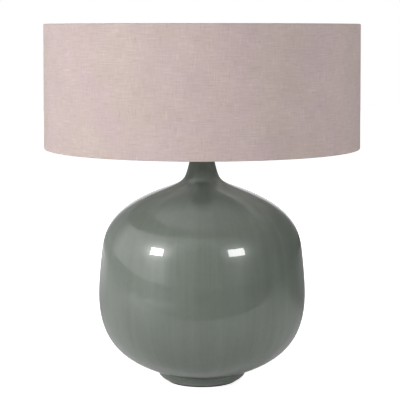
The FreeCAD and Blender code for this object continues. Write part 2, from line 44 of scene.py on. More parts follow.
# ---------------------------------------------------------------- sizes of the jar
foot_bottom = 1.5
foot_radius = 51.9
foot_inner_radius = 45.1
foot_angle = 27.8               # directions of the outline at its foot, degrees above level
foot_joint_angle = 102.1
foot_reach = (0.547, 0.261)     # how far it keeps to each of them, as shares of the chord
foot_steps = 14
foot_chamfer = 1.5              # at the top of the foot's hollow
foot_edge = 0.8                 # rounds the bare ring that the foot stands on
floor_under = 16.0
floor_top = 22.0
floor_hole_radius = 12.0
jar_wall = 6.0
jar_top = 336.0
lip_round = 1.5
lip_chamfer = 1.0
jar_stations = [
    # radius, height, direction of the outline
    (63.7, 15.5, 19.4),
    (149.5, 128.8, 90.0),
    (144.05, 196.9, 97.7),
    (50.7, 283.3, 160.9),
    (19.6, 314.4, 104.5),
    (17.0, jar_top - lip_round, 91.0),
]
# how far the outline keeps to both directions of each stretch, as shares of its chord
jar_reach = [(0.411, 0.465), (0.275, 0.18), (0.30, 0.53), (0.60, 0.465), (0.38, 0.43)]
jar_steps = [34, 16, 30, 20, 8]
felt_radius = 50.6
inlet_height = 7.2
inlet_radius = 3.7
inlet_ends = 30.0, 75.0         # how far back the hole's cutter starts and ends
inlet_seat = 52.5               # how far back the grommet's flange sits
inlet_seat_radius = 4.9
bush_bore = 2.9
bush_waist = 3.6
bush_flange = 4.7
bush_ends = 43.25, 54.1
bush_flange_thickness = 1.5

# ---------------------------------------------------------------- sizes of the shade
shade_bottom = 340.0
shade_top = 516.0
shade_bottom_radius = 226.0
shade_top_radius = 224.5
fabric_thickness = 0.8
hem_thickness = 0.7
hem_upstand = 6.0
hem_height = 11.0
hem_fold = 1.6                  # outside radius of the folded edge
liner_stack = 1.4               # from the fabric's outside to the liner's inside
wire_radius = 2.0
wire_gap = 0.1
arm_height = 375.9
arm_start = 28.8
arm_elbow = 33.0
arm_bend = 30.0
arm_end = (222.55, 342.8)
arm_angles = (90, 210, 330)
slit_start = 150.0              # radius at which the slits for the arms' ends begin
bead_place = (30.8, 377.0)      # welds between the arms and the fitter ring
bead_radius = 2.6
bead_shape = (1.15, 1.0, 0.5)
lap_steps = 12
lap_start = 88.6                # degrees round the lamp, with 90 at the back
lap_width = 3.2

# ---------------------------------------------------------------- sizes of the neck fixings
rod_hole = 5.2
cap_bottom = 337.0
cap_top = 339.5
cap_radius = 17.6
cap_bevel = (1.2, 0.9)
plug_bottom = 329.0             # the cap's collar inside the neck
plug_bore = 9.5
plug_radius = 10.7
spacer_bottom = 342.5
spacer_top = 351.0
spacer_radius = 7.0
spacer_lip = 0.5                # how far each end flares
spacer_lip_height = 1.1

# ---------------------------------------------------------------- sizes of the lampholder and bulb
holder_bottom = spacer_top
holder_shoulder = 374.0
holder_radius = 21.0
holder_wall = 2.0
dome_height = 10.0
boss_height = 2.5               # the short neck under the dome
boss_radius = 8.5
boss_bore = 5.06
switch_height = 368.0
switch_hole = 2.28
skirt_radius = 19.75
skirt_bore = 17.4
skirt_inner_edge = 15.0         # of the skirt's floor, which ends in a wide hole
skirt_floor_top = 376.0
skirt_top = 410.0
thread_start = 375.5
thread_pitch = 2.5
thread_depth = 0.85
thread_turns = 13
ring_radius = 27.5
ring_bore = 19.83
ring_step = 2.5
lower_ring_bottom = holder_shoulder
lower_ring_height = 4.0
upper_ring_height = 5.0
grip_radius = 1.5
grip_depth = 0.7
grip_count = 16
fitter_bore = 21.0
fitter_radius = 33.0
fitter_bottom = 378.0
fitter_top = 379.5
bulb_radius = 30.0
bulb_middle = 461.9
bulb_neck = 12.4
bulb_neck_bottom = 406.8
bulb_cap_top = 412.4
bulb_wall = 0.8

# ---------------------------------------------------------------- for every mesh
smooth_below = 38               # degrees between faces that are shaded as one
join_within = 0.002
near_axis = 0.01                # where an outline that reaches the axis ends


# ---------------------------------------------------------------- shader nodes
class Nodes:
    """Short ways to add nodes to a tree, where a value is a number, a colour or another node's output."""

    def __init__(self, tree):
        self.tree = tree
        self.place = None       # what noise is read at, where nothing else is said

    def node(self, kind, **settings):
        made = self.tree.nodes.new(kind)
        for key, value in settings.items():
            setattr(made, key, value)
        return made

    def put(self, value, socket):
        """Links an output to a socket, or sets a value on it."""
        if isinstance(value, bpy.types.NodeSocket):
            self.tree.links.new(value, socket)
        elif socket.type == "RGBA":
            socket.default_value = (*value, 1)
        else:
            socket.default_value = value

    def math(self, operation, *values):
        made = self.node("ShaderNodeMath", operation=operation)
        for value, socket in zip(values, made.inputs):
            self.put(value, socket)
        return made.outputs[0]

    def chain(self, operation, values):
        """One value from several, taken two at a time."""
        result = values[0]
        for value in values[1:]:
            result = self.math(operation, result, value)
        return result

    def add(self, *values):
        return self.chain("ADD", values)

    def times(self, *values):
        return self.chain("MULTIPLY", values)

    def greatest(self, *values):
        return self.chain("MAXIMUM", values)

    def spread(self, source, low, high, new_low=0.0, new_high=1.0, smooth=False):
        """A value carried from the range low to high into another, and held at its ends."""
        made = self.node("ShaderNodeMapRange", interpolation_type="SMOOTHSTEP" if smooth else "LINEAR")
        sockets = {"Value": source, "From Min": low, "From Max": high, "To Min": new_low, "To Max": new_high}
        for name, value in sockets.items():
            self.put(value, made.inputs[name])
        return made.outputs["Result"]

    def blend(self, share, first, second):
        """A value between two others."""
        made = self.node("ShaderNodeMix", data_type="FLOAT")
        for value, socket in ((share, 0), (first, 2), (second, 3)):
            self.put(value, made.inputs[socket])
        return made.outputs[0]

    def mix(self, share, first, second):
        """A colour between two others."""
        made = self.node("ShaderNodeMix", data_type="RGBA")
        for value, socket in ((share, 0), (first, 6), (second, 7)):
            self.put(value, made.inputs[socket])
        return made.outputs[2]

    def split(self, place):
        made = self.node("ShaderNodeSeparateXYZ")
        self.put(place, made.inputs[0])
        return made.outputs

    def noise(self, scale, detail=2.0, stretch=(1, 1, 1), rough=0.5, source=None):
        """Noise from 0 to 1 with features about 1 / scale metres across."""
        mapping = self.node("ShaderNodeMapping")
        self.put(stretch, mapping.inputs["Scale"])
        self.put(source or self.place, mapping.inputs["Vector"])
        made = self.node("ShaderNodeTexNoise")
        sockets = {"Vector": mapping.outputs[0], "Scale": scale, "Detail": detail, "Roughness": rough}
        for name, value in sockets.items():
            self.put(value, made.inputs[name])
        return made.outputs["Fac"]


# ---------------------------------------------------------------- camera, floor and light
camera_place = (-0.0029, -2.007, 0.505)
camera_tilt = 83.15             # degrees up from straight down
camera_lens = 126


def make_camera():
    data = bpy.data.cameras.new("camera")
    data.sensor_width = 36
    data.lens = camera_lens
    camera = bpy.data.objects.new("camera", data)
    camera.location = camera_place
    camera.rotation_euler = (math.radians(camera_tilt), 0, 0)
    bpy.context.collection.objects.link(camera)
    bpy.context.scene.camera = camera


ambient = 0.15                  # light from all round
floor_size = 14
floor_grey = 0.80
floor_glow = 0.80               # what the floor adds near the lamp to be white, for the camera
glow_rises = 0.35, 1.10         # how far from the lamp that starts to rise to 1, and gets there
sweep_front = -0.50             # where the white floor ends in front of the lamp, as gloss shows it
sweep_blur = 0.03
sweep_rear = 0.05, 0.50         # where it dims behind the lamp
sweep_rear_share = 0.75
sweep_dim = -0.7, 0.5           # from left to right here, the dim floor goes from grey to grey
sweep_dim_greys = 0.46, 0.12
sweep_bright = -0.3, -1.2       # further left, gloss shows more of that glow too, up to this share
sweep_bright_share = 0.30
studio_left = 1.30              # how bright gloss shows the two sides of the studio
studio_right = 0.08
studio_front = 0.42             # share of that left in the dim part round the camera
studio_front_from = -0.70, -0.94        # in Y of the direction that gloss looks in
studio_sides = 0.32             # share of that left where gloss turns towards the back
studio_sides_from = 0.30, 0.65
studio_behind = 0.93, 0.985     # where the white behind the lamp begins
softboxes = [
    # name, place, height it faces, width, height, watts, shown in gloss
    ("key_softbox", (-1.31, -1.02, 0.70), 0.28, 0.46, 0.34, 17.5, True),
    ("fill_softbox", (1.04, -1.28, 0.73), 0.28, 0.56, 0.36, 9.5, True),
    ("high_left_softbox", (-1.8, -0.4, 1.5), 0.3, 0.9, 0.9, 7, False),
    ("high_right_softbox", (1.7, -0.3, 1.5), 0.3, 0.9, 0.9, 4, False),
    ("back_left_softbox", (-0.7, 2.0, 0.9), 0.3, 0.9, 0.9, 15, False),
    ("back_right_softbox", (0.9, 1.9, 0.9), 0.3, 0.9, 0.9, 9, False),
]


def make_floor():
    """White to the camera. Gloss shows it dimmer in front of the lamp, behind it and on the right."""
    nothing_selected()
    bpy.ops.mesh.primitive_plane_add(size=floor_size, location=(0, 0, 0))
    floor = bpy.context.object
    floor.name = "floor"
    material = bpy.data.materials.new("white_floor")
    material.use_nodes = True
    nodes = Nodes(material.node_tree)
    nodes.tree.nodes.clear()
    rays = nodes.node("ShaderNodeLightPath").outputs
    place = nodes.node("ShaderNodeTexCoord").outputs["Object"]
    x, y, _ = nodes.split(place)

    front = nodes.spread(y, sweep_front + sweep_blur, sweep_front - sweep_blur, smooth=True)
    rear = nodes.spread(y, *sweep_rear, 0.0, sweep_rear_share, smooth=True)
    dimmed = nodes.times(rays["Is Glossy Ray"], nodes.greatest(front, rear))
    dim_grey = nodes.spread(x, *sweep_dim, *sweep_dim_greys)
    plain = nodes.node("ShaderNodeBsdfDiffuse")
    nodes.put(nodes.mix(dimmed, (floor_grey, floor_grey, floor_grey), dim_grey), plain.inputs["Color"])

    away = nodes.node("ShaderNodeVectorMath", operation="LENGTH")
    nodes.put(place, away.inputs[0])
    glow = nodes.node("ShaderNodeEmission")
    nodes.put(nodes.spread(away.outputs["Value"], *glow_rises, floor_glow, 1.0), glow.inputs["Strength"])
    glowing = nodes.node("ShaderNodeAddShader")
    nodes.put(plain.outputs[0], glowing.inputs[0])
    nodes.put(glow.outputs[0], glowing.inputs[1])

    bright = nodes.times(rays["Is Glossy Ray"], nodes.spread(x, *sweep_bright, 0.0, sweep_bright_share))
    shown = nodes.node("ShaderNodeMixShader")
    nodes.put(nodes.greatest(rays["Is Camera Ray"], bright), shown.inputs[0])
    nodes.put(plain.outputs[0], shown.inputs[1])
    nodes.put(glowing.outputs[0], shown.inputs[2])
    nodes.put(shown.outputs[0], nodes.node("ShaderNodeOutputMaterial").inputs["Surface"])
    floor.data.materials.append(material)


def make_world():
    """White behind the lamp. Gloss shows a studio that is bright on the left and dim on the right."""
    world = bpy.data.worlds.new("studio")
    bpy.context.scene.world = world
    world.use_nodes = True
    nodes = Nodes(world.node_tree)
    nodes.tree.nodes.clear()
    rays = nodes.node("ShaderNodeLightPath").outputs
    x, y, _ = nodes.split(nodes.node("ShaderNodeTexCoord").outputs["Generated"])
    sides = nodes.spread(x, -1.0, 1.0, studio_left, studio_right)
    in_front = nodes.spread(y, *studio_front_from, 1.0, studio_front, smooth=True)
    beside = nodes.spread(y, *studio_sides_from, 1.0, studio_sides, smooth=True)
    behind = nodes.spread(y, *studio_behind, smooth=True)
    reflected = nodes.blend(behind, nodes.times(sides, in_front, beside), 1.0)
    looked_at = nodes.blend(rays["Is Camera Ray"], reflected, 1.0)
    seen = nodes.greatest(rays["Is Camera Ray"], rays["Is Glossy Ray"], rays["Is Transmission Ray"])
    light = nodes.node("ShaderNodeBackground")
    nodes.put((1.0, 1.0, 1.0), light.inputs["Color"])
    nodes.put(nodes.blend(seen, ambient, looked_at), light.inputs["Strength"])
    nodes.put(light.outputs[0], nodes.node("ShaderNodeOutputWorld").inputs["Surface"])


def make_softbox(name, place, faces, width, height, watts, mirrored):
    data = bpy.data.lights.new(name, "AREA")
    data.shape = "RECTANGLE"
    data.size = width
    data.size_y = height
    data.energy = watts
    lamp = bpy.data.objects.new(name, data)
    lamp.location = place
    lamp.rotation_euler = (Vector((0, 0, faces)) - Vector(place)).to_track_quat("-Z", "Y").to_euler()
    lamp.visible_camera = False
    lamp.visible_glossy = mirrored
    bpy.context.collection.objects.link(lamp)


# ---------------------------------------------------------------- making meshes
def nothing_selected():
    if bpy.context.object and bpy.context.object.mode != "OBJECT":
        bpy.ops.object.mode_set(mode="OBJECT")
    bpy.ops.object.select_all(action="DESELECT")


def select_only(*pieces):
    """Selects these pieces and makes the first of them active."""
    nothing_selected()
    for piece in pieces:
        piece.select_set(True)
    bpy.context.view_layer.objects.active = pieces[0]


def place_in_mesh():
    """Moves the place, turn and scale of what is selected from its object into its mesh."""
    bpy.ops.object.transform_apply(location=True, rotation=True, scale=True)


def smooth():
    bpy.ops.object.shade_smooth_by_angle(angle=math.radians(smooth_below))


def copied(piece):
    """A copy of a piece, with a mesh of its own."""
    select_only(piece)
    bpy.ops.object.duplicate()
    return bpy.context.object


def turn_round(piece, angle):
    """Turns a piece about the lamp's axis."""
    select_only(piece)
    piece.rotation_euler = (0, 0, math.radians(angle))
    place_in_mesh()


def turned(name, outline, steps, angle=360.0):
    """Extrudes a closed outline from its first point and spins it about the lamp's axis."""
    nothing_selected()
    points = [Vector((radius, 0, height)) * mm for radius, height in outline]
    points.append(points[0])
    bpy.ops.mesh.primitive_plane_add(size=mm, location=points[0])
    piece = bpy.context.object
    piece.name = name
    bpy.ops.object.mode_set(mode="EDIT")
    bpy.ops.mesh.merge(type="CENTER")
    for here, there in zip(points, points[1:]):
        bpy.ops.mesh.extrude_region_move(TRANSFORM_OT_translate={"value": there - here})
    bpy.ops.mesh.select_all(action="SELECT")
    bpy.ops.mesh.spin(steps=steps, angle=math.radians(angle), center=(0, 0, 0), axis=(0, 0, 1))
    bpy.ops.mesh.select_all(action="SELECT")
    bpy.ops.mesh.remove_doubles(threshold=join_within * mm)
    bpy.ops.mesh.normals_make_consistent(inside=False)
    bpy.ops.object.mode_set(mode="OBJECT")
    place_in_mesh()
    smooth()
    return piece


def softened(outline, radius, steps=3):
    """The same closed outline with its corners rounded."""
    points = []
    for index, corner in enumerate(outline):
        before = Vector(outline[index - 1]) - Vector(corner)
        after = Vector(outline[(index + 1) % len(outline)]) - Vector(corner)
        reach = min(radius, before.length * 0.45, after.length * 0.45)
        start = Vector(corner) + before.normalized() * reach
        end = Vector(corner) + after.normalized() * reach
        for step in range(steps + 1):
            t = step / steps
            points.append(tuple((1 - t) ** 2 * start + 2 * t * (1 - t) * Vector(corner) + t * t * end))
    return points


def curved(start, start_handle, end_handle, end, steps):
    """Points along a curved stretch of an outline, without its first."""
    points = []
    for step in range(1, steps + 1):
        t = step / steps
        shares = (1 - t) ** 3, 3 * (1 - t) ** 2 * t, 3 * (1 - t) * t ** 2, t ** 3
        corners = list(zip(shares, (start, start_handle, end_handle, end)))
        points.append(tuple(sum(share * corner[i] for share, corner in corners) for i in (0, 1)))
    return points


def arc_points(centre, radius, first_angle, last_angle, steps):
    points = []
    for step in range(steps + 1):
        angle = math.radians(first_angle + (last_angle - first_angle) * step / steps)
        points.append((centre[0] + radius * math.cos(angle), centre[1] + radius * math.sin(angle)))
    return points


def cut_away(piece, cutters):
    """Takes the cutters' shapes out of the piece, and removes them."""
    select_only(piece)
    for cutter in cutters:
        modifier = piece.modifiers.new("cut", "BOOLEAN")
        modifier.operation = "DIFFERENCE"
        modifier.solver = "EXACT"
        modifier.object = cutter
        bpy.ops.object.modifier_apply(modifier="cut")
        bpy.data.objects.remove(cutter)
    smooth()


def rod(start, end, radius, sides=32):
    """A plain round bar between two points given in millimetres, used to cut with."""
    nothing_selected()
    start = Vector(start) * mm
    end = Vector(end) * mm
    bpy.ops.mesh.primitive_cylinder_add(vertices=sides, radius=radius * mm, depth=(end - start).length,
                                        location=(start + end) / 2,
                                        rotation=(end - start).to_track_quat("Z", "Y").to_euler())
    return bpy.context.object


def placed(piece, body, slot, *nodes):
    """Rides a piece on a body, and hides the CAD nodes that it stands for."""
    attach(piece, body)
    if nodes:
        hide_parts(*nodes)
    return piece


# ---------------------------------------------------------------- jar and foot
def stretch(start, end, start_angle, end_angle, reach, steps):
    """Points between two places of an outline, from its direction at each and its reach there."""
    chord = math.dist(start, end)
    start_handle = (start[0] + math.cos(math.radians(start_angle)) * reach[0] * chord,
                    start[1] + math.sin(math.radians(start_angle)) * reach[0] * chord)
    end_handle = (end[0] - math.cos(math.radians(end_angle)) * reach[1] * chord,
                  end[1] - math.sin(math.radians(end_angle)) * reach[1] * chord)
    return curved(start, start_handle, end_handle, end, steps)


def jar_side(inset, share=1.0):
    """The jar's outline from foot to lip, inset from the glazed face."""
    points = []
    for radius, height, angle in jar_stations:
        turn = math.radians(angle)
        points.append((radius - math.sin(turn) * inset, height + math.cos(turn) * inset))
    outline = [points[0]]
    for index, reach in enumerate(jar_reach):
        angles = jar_stations[index][2], jar_stations[index + 1][2]
        steps = max(3, round(jar_steps[index] * share))
        outline += stretch(points[index], points[index + 1], *angles, reach, steps)
    return outline


def make_jar():
    outside = jar_side(0)
    inside = [point for point in jar_side(jar_wall, 0.6) if point[1] > floor_top + 0.5]
    lip = outside[-1][0] - lip_round
    foot = stretch((foot_radius, foot_bottom), outside[0], foot_angle, foot_joint_angle, foot_reach,
                   foot_steps)
    outline = [
        (floor_hole_radius, floor_under),
        (foot_inner_radius - foot_chamfer, floor_under),
        (foot_inner_radius, floor_under - foot_chamfer),
        (foot_inner_radius, foot_bottom + foot_edge),
        (foot_inner_radius + foot_edge, foot_bottom),
        (foot_radius - 0.6, foot_bottom),
        (foot_radius, foot_bottom + 0.15),
        *foot,
        *outside[1:],
        *arc_points((lip, jar_top - lip_round), lip_round, 0, 90, 6)[1:],
        (inside[-1][0] + lip_chamfer, jar_top),
        (inside[-1][0], jar_top - lip_chamfer),
        *inside[::-1],
        (inside[0][0] - 3, floor_top),
        (floor_hole_radius, floor_top),
    ]
    piece = turned("glazed_jar", outline, 192)
    start, end = inlet_ends
    cut_away(piece, [
        rod((0, start, inlet_height), (0, end, inlet_height), inlet_radius),
        rod((0, inlet_seat, inlet_height), (0, end, inlet_height), inlet_seat_radius, 48),
    ])
    return placed(piece, "stand", "glaze", "jar")


def make_felt():
    outline = softened([(near_axis, 0), (felt_radius, 0),
                        (felt_radius, foot_bottom), (near_axis, foot_bottom)], 0.6, 4)
    return placed(turned("felt_pad", outline, 128), "stand", "felt", "foot_felt")


def make_grommet():
    """A rubber bush, turned upright and then laid along the hole in the foot."""
    start, end = bush_ends
    first = start + bush_flange_thickness
    last = end - bush_flange_thickness
    outline = softened([(bush_bore, start), (bush_flange, start), (bush_flange, first),
                        (bush_waist, first), (bush_waist, last), (bush_flange, last),
                        (bush_flange, end), (bush_bore, end)], 0.45, 4)
    piece = turned("rubber_bush", outline, 48)
    piece.rotation_euler = (math.radians(-90), 0, 0)
    piece.location = (0, 0, inlet_height * mm)
    place_in_mesh()
    return placed(piece, "stand", "rubber", "cord_grommet")


# ---------------------------------------------------------------- neck fixings and lampholder
def make_neck_cap():
    across, down = cap_bevel
    outline = softened([(rod_hole, cap_bottom), (plug_bore, cap_bottom), (plug_bore, plug_bottom),
                        (plug_radius, plug_bottom), (plug_radius, cap_bottom), (cap_radius, cap_bottom),
                        (cap_radius, cap_top - down), (cap_radius - across, cap_top),
                        (rod_hole, cap_top)], 0.35)
    return placed(turned("neck_plate", outline, 96), "stand", "brass", "neck_cap")


def make_spacer():
    flared = spacer_radius + spacer_lip
    outline = softened([(rod_hole, spacer_bottom), (flared, spacer_bottom),
                        (flared, spacer_bottom + spacer_lip_height),
                        (spacer_radius, spacer_bottom + spacer_lip_height + 0.4),
                        (spacer_radius, spacer_top - spacer_lip_height - 0.4),
                        (flared, spacer_top - spacer_lip_height),
                        (flared, spacer_top), (rod_hole, spacer_top)], 0.3)
    return placed(turned("neck_spacer", outline, 64), "stand", "brass", "spacer_tube")


def make_holder_cap():
    dome_top = holder_bottom + dome_height
    dome_foot = holder_bottom + boss_height
    groove = dome_top + 0.6
    inside = holder_radius - holder_wall
    outline = [
        (boss_bore, holder_bottom), (boss_radius - 0.4, holder_bottom), (boss_radius, holder_bottom + 0.4),
        (boss_radius, dome_foot),
        *curved((boss_radius, dome_foot), (inside, dome_foot),
                (holder_radius, dome_foot + 2), (holder_radius, dome_top), 14),
        (holder_radius, groove), (holder_radius - 0.5, groove + 0.4),
        (holder_radius - 0.5, groove + 1.0), (holder_radius, groove + 1.4),
        (holder_radius, holder_shoulder - 0.5), (holder_radius - 0.5, holder_shoulder),
        (inside, holder_shoulder), (inside, dome_top), (inside - 2, dome_top - 2),
        (boss_radius - 1, dome_foot + 2), (boss_bore, dome_foot + 2),
    ]
    piece = turned("holder_cap", outline, 96)
    cut_away(piece, [rod((-30, 0, switch_height), (30, 0, switch_height), switch_hole, 40)])
    return placed(piece, "stand", "black_plastic", "lampholder_cap")


def make_holder_skirt():
    root = skirt_radius - thread_depth
    outline = [(skirt_inner_edge, holder_shoulder), (skirt_radius - 0.3, holder_shoulder),
               (skirt_radius, holder_shoulder + 0.3), (skirt_radius, thread_start)]
    for turn in range(thread_turns):
        start = thread_start + turn * thread_pitch
        for share, radius in ((0.2, root + 0.25), (0.36, root), (0.52, root), (0.68, root + 0.25),
                              (0.84, skirt_radius), (1.0, skirt_radius)):
            outline.append((radius, start + share * thread_pitch))
    outline += [(skirt_radius, skirt_top - 0.5), (skirt_radius - 0.5, skirt_top),
                (skirt_bore + 0.4, skirt_top), (skirt_bore, skirt_top - 0.4),
                (skirt_bore, skirt_floor_top), (skirt_inner_edge, skirt_floor_top)]
    return placed(turned("holder_skirt", outline, 96), "stand", "black_plastic", "lampholder_skirt")


def make_shade_ring(name, body, node, bottom, height):
    """A ring with finger grips round its edge, every corner softened."""
    top = bottom + height
    ledge = ring_bore + ring_step
    outline = softened([(ring_bore, bottom), (ring_radius, bottom), (ring_radius, top),
                        (ledge, top), (ledge, top - 0.6), (ring_bore, top - 0.6)], 0.4)
    piece = turned(name, outline, 128)
    first = rod((0, 0, bottom - 1), (0, 0, top + 1), grip_radius, 24)
    cutters = [first, *(copied(first) for _ in range(1, grip_count))]
    reach = ring_radius + grip_radius - grip_depth
    for grip, cutter in enumerate(cutters):
        turn = 2 * math.pi * grip / grip_count
        cutter.location.xy = reach * math.cos(turn) * mm, reach * math.sin(turn) * mm
    cut_away(piece, cutters)
    return placed(piece, body, "black_plastic", node)


# ---------------------------------------------------------------- bulb
def make_bulb_glass():
    def side(inset):
        neck = bulb_neck - inset
        radius = bulb_radius - inset
        reach = (bulb_middle - bulb_cap_top) / 2
        return [
            (neck, bulb_neck_bottom),
            *curved((neck, bulb_cap_top), (neck, bulb_cap_top + reach / 2), (radius, bulb_middle - reach),
                    (radius, bulb_middle), 24),
            *arc_points((0, bulb_middle), radius, 0, 89.9, 24)[1:],
        ]
    outline = side(0) + side(bulb_wall)[::-1]
    return placed(turned("opal_bulb", outline, 96), "bulb", "opal_glass", "bulb_glass")


# ---------------------------------------------------------------- shade
def shade_radius(height):
    share = (height - shade_bottom) / (shade_top - shade_bottom)
    return shade_bottom_radius + share * (shade_top_radius - shade_bottom_radius)


def hem_outline(edge, inwards):
    """A turned hem round a wire ring, from the fabric's inner face to its outer.

    inwards is 1 at the lower edge and -1 at the upper.
    """
    def up(distance):
        return edge + inwards * distance

    ring_height = up(hem_thickness + wire_gap + wire_radius)
    ring_inside = shade_radius(ring_height) - liner_stack - 2 * wire_gap - 2 * wire_radius
    flat = up(hem_thickness)
    inside_radius = shade_radius(flat) - fabric_thickness
    end_radius = shade_radius(up(hem_height)) - liner_stack - wire_gap
    inner = ring_inside - hem_thickness
    outer = shade_radius(edge)
    return [
        (inside_radius, up(hem_thickness + hem_fold / 2)),
        (inside_radius - 0.5, flat),
        (ring_inside + 0.5, flat),
        (ring_inside, up(hem_thickness + hem_fold / 2)),
        (ring_inside, up(hem_upstand)),
        (end_radius, up(hem_height)),
        (end_radius - hem_thickness, up(hem_height - 0.2)),
        (inner, up(hem_upstand)),
        *arc_points((inner + hem_fold, up(hem_fold)), hem_fold, 180, 180 + inwards * 90, 6),
        *arc_points((outer - hem_fold, up(hem_fold)), hem_fold, inwards * -90, 0, 6),
    ]


def arm_slits():
    """Cutters along the outer ends of the arms, where they pass through the linen's hem."""
    share = (arm_end[0] - slit_start) / (arm_end[0] - arm_elbow)
    start_height = arm_end[1] + share * (arm_height - arm_end[1])
    cutters = []
    for angle in arm_angles:
        turn = math.radians(angle)
        ends = []
        for radius, height in ((slit_start, start_height), arm_end):
            ends.append((radius * math.cos(turn), radius * math.sin(turn), height))
        cutters.append(rod(*ends, wire_radius + 0.3, 24))
    return cutters


def make_linen_cover():
    low = hem_outline(shade_bottom, 1)
    high = hem_outline(shade_top, -1)
    rows = 20
    outside = []
    for row in range(1, rows):
        height = low[-1][1] + (high[-1][1] - low[-1][1]) * row / rows
        outside.append((shade_radius(height), height))
    piece = turned("linen_cover", low + outside + high[::-1], 256)
    cut_away(piece, arm_slits())
    return placed(piece, "shade", "linen", "shade_fabric")


def make_linen_seam():
    """The folded end of the linen, lapped over its start at the back."""
    low = shade_bottom + hem_fold
    high = shade_top - hem_fold
    outline = [(shade_radius(low) - 0.1, low), (shade_radius(low) + 0.4, low + 0.4)]
    for step in range(1, lap_steps):
        height = low + (high - low) * step / lap_steps
        outline.append((shade_radius(height) + 0.45, height))
    outline += [(shade_radius(high) + 0.4, high - 0.4), (shade_radius(high) - 0.1, high)]
    piece = turned("linen_lap", outline, 6, angle=lap_width)
    turn_round(piece, lap_start)
    return placed(piece, "shade", "linen")


def make_arm():
    """One wire arm with its weld: from under the fitter ring, round its bend and down to the lower ring."""
    nothing_selected()
    slope = math.atan2(arm_height - arm_end[1], arm_end[0] - arm_elbow)
    setback = arm_bend * math.tan(slope / 2)
    bpy.ops.mesh.primitive_circle_add(vertices=20, radius=wire_radius * mm, fill_type="NGON",
                                      location=(arm_start * mm, 0, arm_height * mm),
                                      rotation=(0, math.radians(90), 0))
    piece = bpy.context.object
    place_in_mesh()
    bpy.ops.object.mode_set(mode="EDIT")
    bpy.ops.mesh.select_all(action="SELECT")
    flat = Vector((arm_elbow - setback - arm_start, 0, 0)) * mm
    bpy.ops.mesh.extrude_region_move(TRANSFORM_OT_translate={"value": flat})
    bend_centre = Vector((arm_elbow - setback, 0, arm_height - arm_bend)) * mm
    bpy.ops.mesh.spin(steps=6, angle=slope, center=bend_centre, axis=(0, 1, 0))
    length = math.dist(arm_end, (arm_elbow, arm_height)) - setback - wire_radius
    down = Vector((math.cos(slope), 0, -math.sin(slope))) * length * mm
    bpy.ops.mesh.extrude_region_move(TRANSFORM_OT_translate={"value": down})
    bpy.ops.mesh.select_all(action="SELECT")
    bpy.ops.mesh.remove_doubles(threshold=join_within * mm)
    bpy.ops.mesh.normals_make_consistent(inside=False)
    bpy.ops.object.mode_set(mode="OBJECT")
    bpy.ops.mesh.primitive_uv_sphere_add(segments=20, ring_count=10, radius=bead_radius * mm,
                                         location=(bead_place[0] * mm, 0, bead_place[1] * mm))
    bead = bpy.context.object
    bead.scale = bead_shape
    place_in_mesh()
    select_only(piece, bead)
    bpy.ops.object.join()
    return piece


def make_arms():
    first = make_arm()
    arms = [first, *(copied(first) for _ in arm_angles[1:])]
    for arm, angle in zip(arms, arm_angles):
        turn_round(arm, angle)
    select_only(*arms)
    bpy.ops.object.join()
    first.name = "wire_arms"
    smooth()
    return placed(first, "shade", "white_wire", "spider_arms")


def make_fitter():
    outline = softened([(fitter_bore, fitter_bottom), (fitter_radius, fitter_bottom),
                        (fitter_radius, fitter_top), (fitter_bore, fitter_top)], 0.5, 4)
    return placed(turned("fitter_plate", outline, 128), "shade", "white_wire", "fitter_ring")


# ---------------------------------------------------------------- materials
class Effect(Nodes):
    """A shader node group with named sockets, built once and placed in each material that uses it."""

    def __init__(self, name, inputs, outputs):
        super().__init__(bpy.data.node_groups.new(name, "ShaderNodeTree"))
        for way, sockets in (("INPUT", inputs), ("OUTPUT", outputs)):
            for socket, kind in sockets.items():
                self.tree.interface.new_socket(name=socket, in_out=way, socket_type="NodeSocket" + kind)
        self.given = self.node("NodeGroupInput").outputs
        self.results = self.node("NodeGroupOutput").inputs
        self.place = self.given["Place"]


class Finish(Nodes):
    """A material with one Principled shader."""

    def __init__(self, name):
        self.material = bpy.data.materials.new(name)
        self.material.use_nodes = True
        super().__init__(self.material.node_tree)
        self.shader = self.tree.nodes["Principled BSDF"]
        self.place = self.node("ShaderNodeTexCoord").outputs["Object"]

    def feed(self, source, socket):
        self.put(source, self.shader.inputs[socket])

    def set(self, **values):
        for key, value in values.items():
            self.feed(value, key.replace("_", " "))

    def use(self, effect, **values):
        """The outputs of an effect that is placed in this material with its own values."""
        made = self.node("ShaderNodeGroup", node_tree=effect.tree)
        self.put(self.place, made.inputs["Place"])
        for key, value in values.items():
            self.put(value, made.inputs[key.replace("_", " ")])
        return made.outputs

    def ramp(self, source, stops):
        """Colours along a value, from (position, (r, g, b)) stops."""
        made = self.node("ShaderNodeValToRGB")
        points = made.color_ramp.elements
        while len(points) < len(stops):
            points.new(0.5)
        for point, (position, colour) in zip(points, stops):
            point.position = position
            point.color = (*colour, 1)
        self.put(source, made.inputs["Fac"])
        return made.outputs["Color"]

    def bump(self, height, distance, strength):
        made = self.node("ShaderNodeBump")
        for name, value in {"Height": height, "Distance": distance, "Strength": strength}.items():
            self.put(value, made.inputs[name])
        self.feed(made.outputs[0], "Normal")

    def flat(self, across, along):
        """A place on an unrolled surface, in metres."""
        made = self.node("ShaderNodeCombineXYZ")
        self.put(across, made.inputs[0])
        self.put(along, made.inputs[1])
        return made.outputs[0]

    def paint(self, *pieces):
        for piece in pieces:
            piece.data.materials.clear()
            piece.data.materials.append(self.material)

    def paint_nodes(self, *nodes):
        for node in nodes:
            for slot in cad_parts[node].material_slots:
                slot.material = self.material


